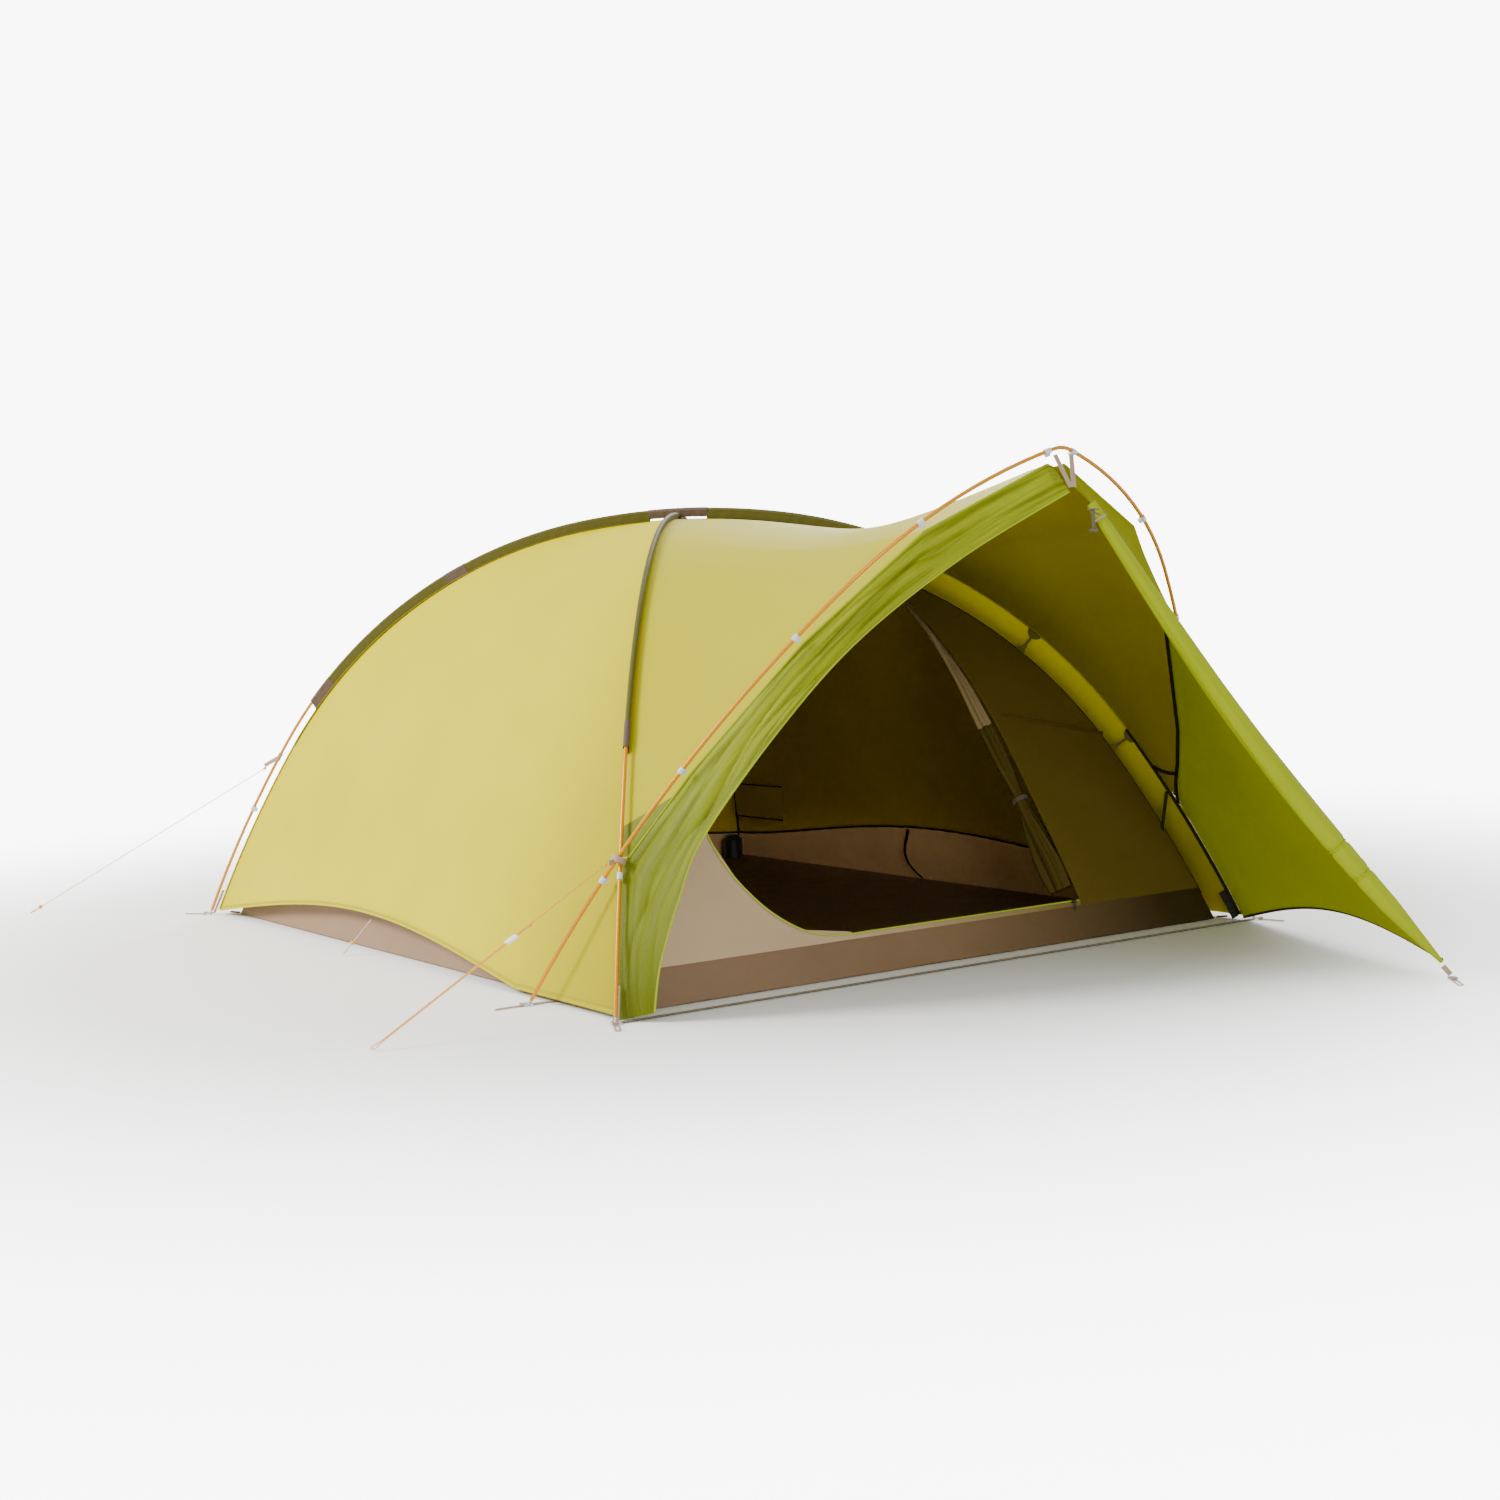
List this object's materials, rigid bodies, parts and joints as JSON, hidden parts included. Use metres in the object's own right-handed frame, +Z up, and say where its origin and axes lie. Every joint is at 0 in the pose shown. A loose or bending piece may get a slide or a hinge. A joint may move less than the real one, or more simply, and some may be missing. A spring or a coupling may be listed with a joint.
{
  "type": "dome tent",
  "caption": "Dome tent with crossing poles, an arched vestibule pole, a lime fly with its front door rolled open, a hung inner tent with a tub floor, and guylines.",
  "frame": {"origin": "on the ground, at the middle of the underside of the inner tent's floor", "axes": "+X to the right seen from the entrance, +Y to the rear, +Z up; the entrance faces -Y"},
  "size_m": [2.6973, 4.046, 1.2595],
  "materials": {
    "pole_orange": "orange anodised aluminium tube",
    "shock_cord": "braided elastic",
    "bare_alloy": "satin",
    "sleeve_olive": "dark olive coated nylon",
    "patch_dark": "dark brown reinforced nylon",
    "clip_grey": "pale grey moulded plastic",
    "webbing": "beige woven webbing",
    "fly_lime": "yellow-green ripstop, silicone coated, translucent",
    "fly_band_lime": "lime ripstop, slightly wrinkled",
    "gusset_black": "black reinforced nylon",
    "floor_brown": "brown coated floor fabric",
    "inner_greige": "greige breathable nylon",
    "piping_lime": "lime piping tape",
    "slider_dark": "dark zip slider",
    "hanger_olive": "dark webbing",
    "hook_red": "dark red moulded hook",
    "mesh_dark": "mesh pocket",
    "bundle_black": "black stuff sack",
    "cord_orange": "braided orange guyline",
    "cord_pale": "braided pale cord",
    "tensioner_white": "white moulded tensioner"
  },
  "bodies": {
    "root": {"pole_a": "pole_orange", "pole_b": "pole_orange", "pole_c": "pole_orange", "shock_cords": "shock_cord", "pole_ferrules": "bare_alloy", "pole_tips": "bare_alloy", "sleeve_a": "sleeve_olive", "sleeve_b": "sleeve_olive", "sleeve_cuffs": "patch_dark", "mid_patches": "patch_dark", "crown_patch": "patch_dark", "arch_clips": "clip_grey", "leg_clips": "clip_grey", "crossing_wraps": "webbing", "rear_guy_straps": "webbing", "peak_strap": "webbing", "fly_left": "fly_lime", "fly_right": "fly_lime", "fly_rear": "fly_lime", "fly_roof": "fly_lime", "fly_band": "fly_band_lime", "fly_side": "fly_lime", "fly_roll": "fly_band_lime", "roll_ties": "webbing", "foot_tabs": "webbing", "foot_rings": "bare_alloy", "corner_gussets": "gusset_black", "arch_foot_straps": "webbing", "tip_ring": "bare_alloy", "inner_floor": "floor_brown", "tub_walls": "floor_brown", "inner_left": "inner_greige", "inner_right": "inner_greige", "inner_rear": "inner_greige", "inner_front_left": "inner_greige", "inner_front_right": "inner_greige", "inner_front_top": "inner_greige", "door_panel": "inner_greige", "door_tie": "webbing", "door_piping": "piping_lime", "hangers": "hanger_olive", "corner_hooks": "hook_red", "pocket": "mesh_dark", "stowed_bundle": "bundle_black", "floor_strap": "webbing", "guyline_front": "cord_orange", "guyline_rear": "cord_orange", "guyline_side": "cord_pale", "guy_knots": "cord_orange"},
    "front_left_peg_loop": {"loop_fl": "webbing"},
    "front_right_peg_loop": {"loop_fr": "webbing"},
    "rear_left_peg_loop": {"loop_rl": "webbing"},
    "rear_right_peg_loop": {"loop_rr": "webbing"},
    "arch_left_peg_loop": {"loop_cl": "webbing"},
    "arch_right_peg_loop": {"loop_cr": "webbing"},
    "door_tip_peg_loop": {"loop_tip": "webbing"},
    "toggle": {"door_toggle": "webbing"},
    "zip_slider": {"door_slider": "slider_dark"},
    "line_tensioner": {"tensioner": "tensioner_white"}
  },
  "joints": [
    {"name": "front_left_peg_loop_lift", "type": "hinge", "parent": "root", "child": "front_left_peg_loop", "pos_m": [-1.02772, -1.27515, 0.005], "axis": [-0.891, 0.454, 0], "range_deg": [0, 80]},
    {"name": "front_right_peg_loop_lift", "type": "hinge", "parent": "root", "child": "front_right_peg_loop", "pos_m": [1.02382, -1.27656, 0.005], "axis": [-0.9744, -0.225, 0], "range_deg": [0, 80]},
    {"name": "rear_left_peg_loop_lift", "type": "hinge", "parent": "root", "child": "rear_left_peg_loop", "pos_m": [-1.03093, 1.27302, 0.005], "axis": [0.766, 0.6428, 0], "range_deg": [0, 80]},
    {"name": "rear_right_peg_loop_lift", "type": "hinge", "parent": "root", "child": "rear_right_peg_loop", "pos_m": [1.03093, 1.27302, 0.005], "axis": [0.766, -0.6428, 0], "range_deg": [0, 80]},
    {"name": "arch_left_peg_loop_lift", "type": "hinge", "parent": "root", "child": "arch_left_peg_loop", "pos_m": [-1.068, -0.91, 0.005], "axis": [0, 1, 0], "range_deg": [0, 80]},
    {"name": "arch_right_peg_loop_lift", "type": "hinge", "parent": "root", "child": "arch_right_peg_loop", "pos_m": [1.068, -0.91, 0.005], "axis": [0, -1, 0], "range_deg": [0, 80]},
    {"name": "door_tip_peg_loop_lift", "type": "hinge", "parent": "root", "child": "door_tip_peg_loop", "pos_m": [0.63553, -2.2294, 0.005], "axis": [-0.788, 0.6157, 0], "range_deg": [0, 80]},
    {"name": "toggle_swing", "type": "hinge", "parent": "root", "child": "toggle", "pos_m": [0.008, -1.752, 1.108], "axis": [-0.766, 0.6428, 0], "range_deg": [-35, 35]},
    {"name": "door_zip_run", "type": "slide", "parent": "root", "child": "zip_slider", "axis": [1, 0, 0], "range_m": [-0.7, 0.01]},
    {"name": "tensioner_slide", "type": "slide", "parent": "root", "child": "line_tensioner", "axis": [-0.874, -0.0115, -0.4857], "range_m": [-0.03, 0.2]}
  ]
}
